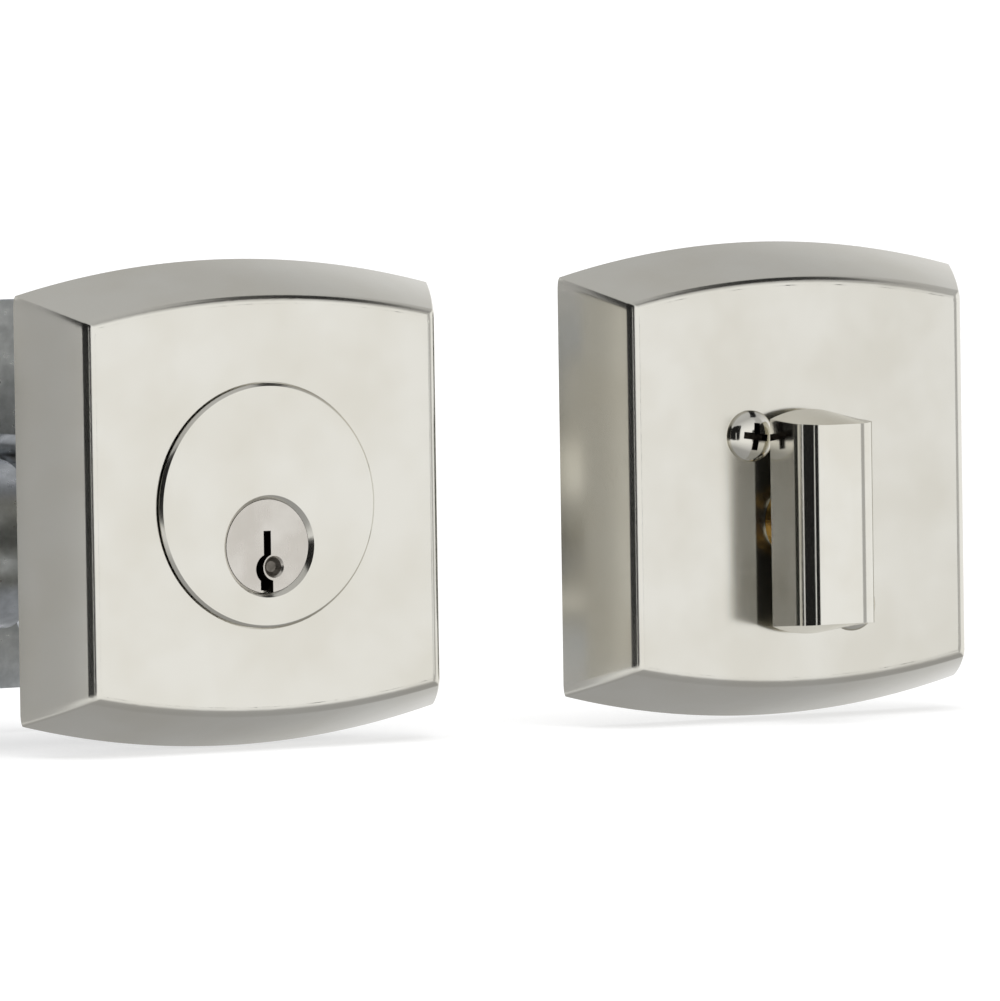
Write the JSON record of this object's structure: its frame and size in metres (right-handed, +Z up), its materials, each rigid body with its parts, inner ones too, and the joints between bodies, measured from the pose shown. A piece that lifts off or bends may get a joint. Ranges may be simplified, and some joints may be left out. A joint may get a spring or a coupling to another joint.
{
  "type": "deadbolt door lock",
  "caption": "Door deadbolt: keyed cylinder in a bevelled arched nickel trim, tubular latch with sliding bolt, inside mounting plate, and the inside trim with its turn set beside it.",
  "frame": {"origin": "on the spindle axis, through the plug and tailpiece, where it crosses the outer face of the door", "axes": "+X to the right and +Y into the door, both as seen from outside; +Z up. The bolt leaves towards -X"},
  "size_m": [0.1816, 0.0756, 0.0686],
  "materials": {
    "polished_nickel": "polished nickel plate on cast and forged brass, warm and mirror bright",
    "satin_nickel": "fine brushed nickel plate",
    "brass": "turned, unplated brass",
    "zinc_plated_steel": "stamped steel, bright zinc plate",
    "steel": "machined steel",
    "spring_steel": "spring steel, lightly oiled"
  },
  "bodies": {
    "lock": {"bolt_tube": "zinc_plated_steel", "case_posts": "steel", "case_side_inner": "zinc_plated_steel", "case_side_outer": "zinc_plated_steel", "chamber_cap": "brass", "cylinder_housing": "satin_nickel", "detent_spring": "spring_steel", "driver_pins": "brass", "exterior_escutcheon": "polished_nickel", "inside_mounting_plate": "zinc_plated_steel", "interior_escutcheon": "polished_nickel", "latch_backing_plate": "zinc_plated_steel", "latch_faceplate": "satin_nickel", "pin_springs": "spring_steel", "through_bolts": "zinc_plated_steel", "trim_screws": "polished_nickel", "tube_rivets": "steel", "turn_bushing": "brass"},
    "key_plug": {"key_plug": "satin_nickel", "bottom_pins": "brass", "plug_clip": "spring_steel", "tailpiece_cap": "brass"},
    "tailpiece": {"tailpiece": "steel"},
    "cam": {"bolt_cam": "steel", "crank_pin": "steel"},
    "bolt": {"deadbolt": "satin_nickel", "saw_guard_roller": "steel", "bolt_tail_outer": "zinc_plated_steel", "bolt_tail_inner": "zinc_plated_steel", "tail_rivets": "steel"},
    "turn": {"turn_piece": "polished_nickel", "turn_washer": "spring_steel", "turn_retaining_ring": "spring_steel", "turn_spindle": "steel", "spindle_roll_pin": "spring_steel"}
  },
  "joints": [
    {"name": "thumb_turn", "type": "hinge", "parent": "lock", "child": "turn", "pos_m": [0.088, 0, 0], "axis": [0, 1, 0], "range_deg": [0, 90]},
    {"name": "tailpiece_turn", "type": "hinge", "parent": "lock", "child": "tailpiece", "pos_m": [0, 0, 0], "axis": [0, -1, 0], "range_deg": [0, 90]},
    {"name": "cam_turn", "type": "hinge", "parent": "lock", "child": "cam", "pos_m": [0, 0.02223, 0], "axis": [0, -1, 0], "range_deg": [0, 90]},
    {"name": "bolt_slide", "type": "slide", "parent": "lock", "child": "bolt", "axis": [-1, 0, 0], "range_m": [0, 0.0254]},
    {"name": "key_plug_turn", "type": "hinge", "parent": "lock", "child": "key_plug", "pos_m": [0, 0, 0], "axis": [0, -1, 0], "range_deg": [0, 90]}
  ],
  "couplings": [
    {"joint": "tailpiece_turn", "follows": "thumb_turn", "ratio": 1},
    {"joint": "cam_turn", "follows": "thumb_turn", "ratio": 1},
    {"joint": "bolt_slide", "follows": "thumb_turn", "m_per_rad": 0.01617}
  ]
}
